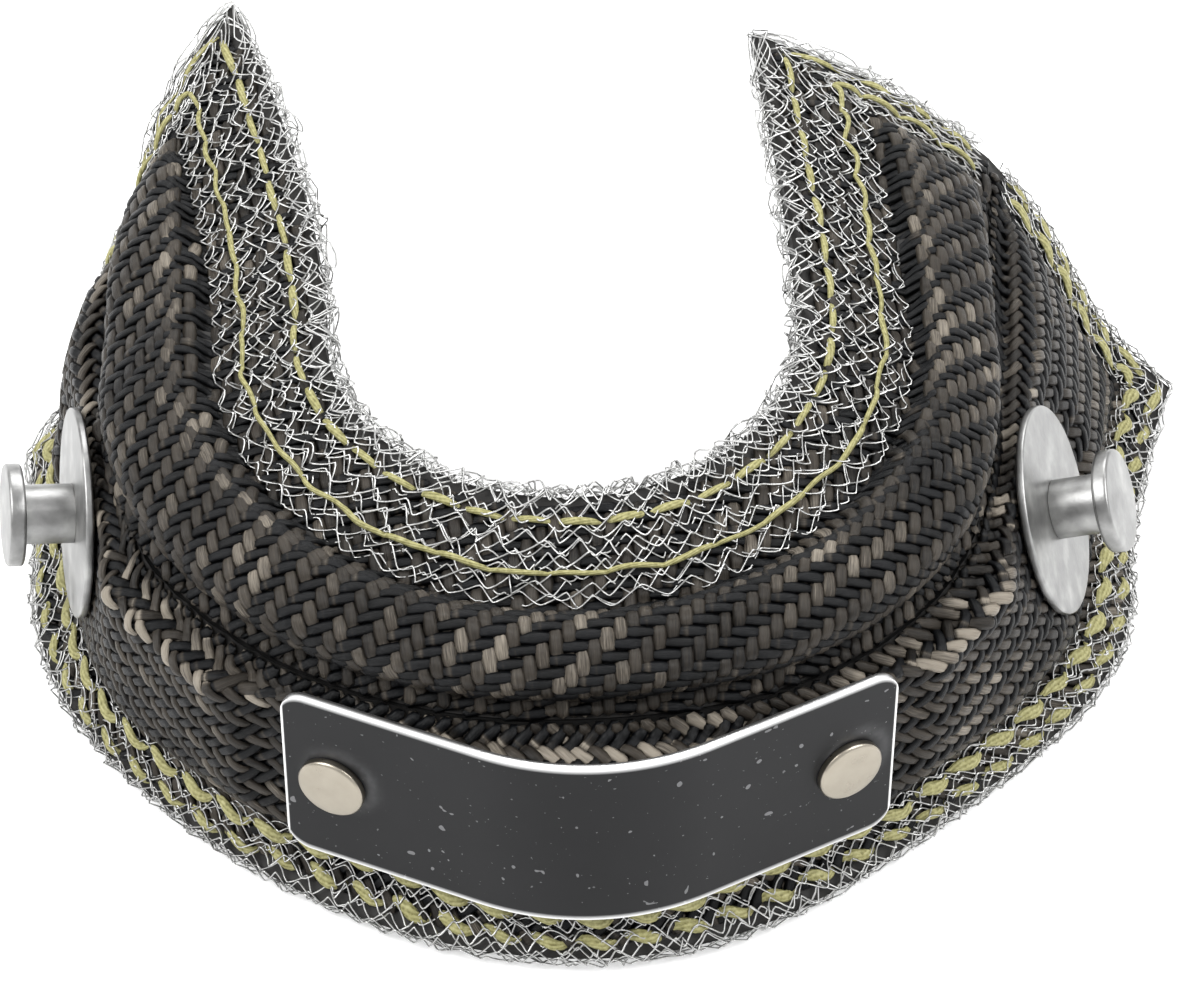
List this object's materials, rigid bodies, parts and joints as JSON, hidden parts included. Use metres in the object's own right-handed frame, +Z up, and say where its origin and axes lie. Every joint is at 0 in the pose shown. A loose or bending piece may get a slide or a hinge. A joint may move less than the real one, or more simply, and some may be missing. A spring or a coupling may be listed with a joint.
{
  "type": "wastegate heat blanket",
  "caption": "Padded horseshoe-shaped heat blanket with wire-mesh-bound stitched edges, a lacing post on each side and a riveted plate on the front.",
  "frame": {"origin": "middle of the bounding box, on the surface that the skirt edge stands on", "axes": "+X to the right seen from the plate, +Y from the plate to the open back, +Z up from the skirt edge to the neck opening"},
  "size_m": [0.15, 0.1192, 0.049],
  "materials": {
    "basalt": "woven twill, dark with warm sheen",
    "batting": "needled fibre",
    "wire_mesh": "knitted stainless wire, bright",
    "thread": "twisted aramid, matt",
    "aluminium": "satin",
    "nickel": "satin nickel",
    "plate": "satin black print with bare edges"
  },
  "bodies": {
    "root": {"left_capstan_base_disc": "aluminium", "left_capstan_sleeve": "aluminium", "left_capstan_rivet": "aluminium", "left_capstan_back_washer": "aluminium", "right_capstan_base_disc": "aluminium", "right_capstan_sleeve": "aluminium", "right_capstan_rivet": "aluminium", "right_capstan_back_washer": "aluminium", "left_plate_rivet": "nickel", "left_plate_rivet_cap": "nickel", "right_plate_rivet": "nickel", "right_plate_rivet_cap": "nickel", "plate": "plate", "roof_cover": "basalt", "roof_batting": "batting", "roof_liner": "wire_mesh", "neck_binding": "wire_mesh", "wall_cover": "basalt", "wall_batting": "batting", "wall_liner": "wire_mesh", "skirt_binding": "wire_mesh", "neck_stitch_edge_row": "thread", "neck_bobbin_edge_row": "thread", "neck_stitch_inner_row": "thread", "neck_bobbin_inner_row": "thread", "skirt_stitch_edge_row": "thread", "skirt_bobbin_edge_row": "thread", "skirt_stitch_inner_row": "thread", "skirt_bobbin_inner_row": "thread", "crease_thread": "thread"}
  },
  "joints": []
}
